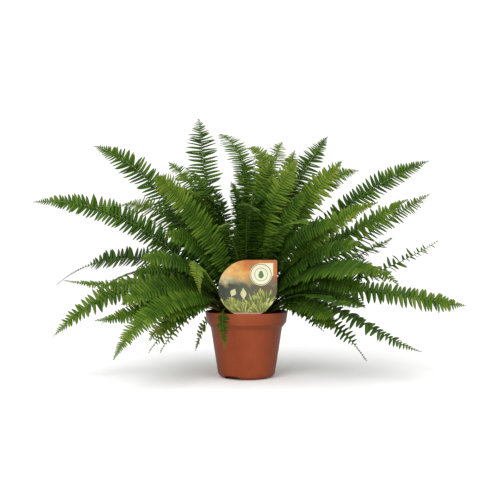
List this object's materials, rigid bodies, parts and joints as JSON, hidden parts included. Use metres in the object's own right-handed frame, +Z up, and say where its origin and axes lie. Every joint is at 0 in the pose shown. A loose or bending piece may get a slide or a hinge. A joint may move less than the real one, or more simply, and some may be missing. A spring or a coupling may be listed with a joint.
{
  "type": "potted boston fern",
  "caption": "Bushy Boston fern of separate arching fronds growing from a crown in soil, in a round terracotta-coloured plastic nursery pot with a die-cut plant label.",
  "frame": {"origin": "on the pot's axis at the underside of its flat floor, which stands on the surface", "axes": "+Z up, -Y towards the front where the plant label is, +X to the viewer's right along the plant's widest spread"},
  "size_m": [0.6103, 0.4711, 0.3801],
  "materials": {
    "pot_plastic": "satin terracotta-coloured moulded plastic",
    "potting_soil": null,
    "crown": "rough brown scaly rhizome with fibrous stalk bases",
    "label_card": null,
    "frond_green": null
  },
  "bodies": {
    "root": {"pot": "pot_plastic", "potting_soil": "potting_soil", "rhizome_crown": "crown", "plant_label": "label_card", "back_frond_01": "frond_green", "back_frond_02": "frond_green", "back_frond_03": "frond_green", "back_frond_04": "frond_green", "back_frond_05": "frond_green", "back_frond_06": "frond_green", "back_frond_07": "frond_green", "back_frond_08": "frond_green", "back_frond_09": "frond_green", "back_frond_10": "frond_green", "front_frond_01": "frond_green", "front_frond_02": "frond_green", "front_frond_03": "frond_green", "front_frond_04": "frond_green", "left_frond_01": "frond_green", "left_frond_02": "frond_green", "left_frond_03": "frond_green", "left_frond_04": "frond_green", "left_frond_05": "frond_green", "left_frond_06": "frond_green", "left_frond_07": "frond_green", "left_frond_08": "frond_green", "left_frond_09": "frond_green", "left_frond_10": "frond_green", "left_frond_11": "frond_green", "left_frond_12": "frond_green", "left_frond_13": "frond_green", "left_frond_14": "frond_green", "left_frond_15": "frond_green", "left_frond_16": "frond_green", "right_frond_01": "frond_green", "right_frond_02": "frond_green", "right_frond_03": "frond_green", "right_frond_04": "frond_green", "right_frond_05": "frond_green", "right_frond_06": "frond_green", "right_frond_07": "frond_green", "right_frond_08": "frond_green", "right_frond_09": "frond_green", "right_frond_10": "frond_green", "right_frond_11": "frond_green", "right_frond_12": "frond_green", "right_frond_13": "frond_green", "right_frond_14": "frond_green", "right_frond_15": "frond_green", "right_frond_16": "frond_green", "right_frond_17": "frond_green", "right_frond_18": "frond_green", "top_frond_01": "frond_green", "top_frond_02": "frond_green", "top_frond_03": "frond_green", "top_frond_04": "frond_green", "top_frond_05": "frond_green", "top_frond_06": "frond_green"}
  },
  "joints": []
}
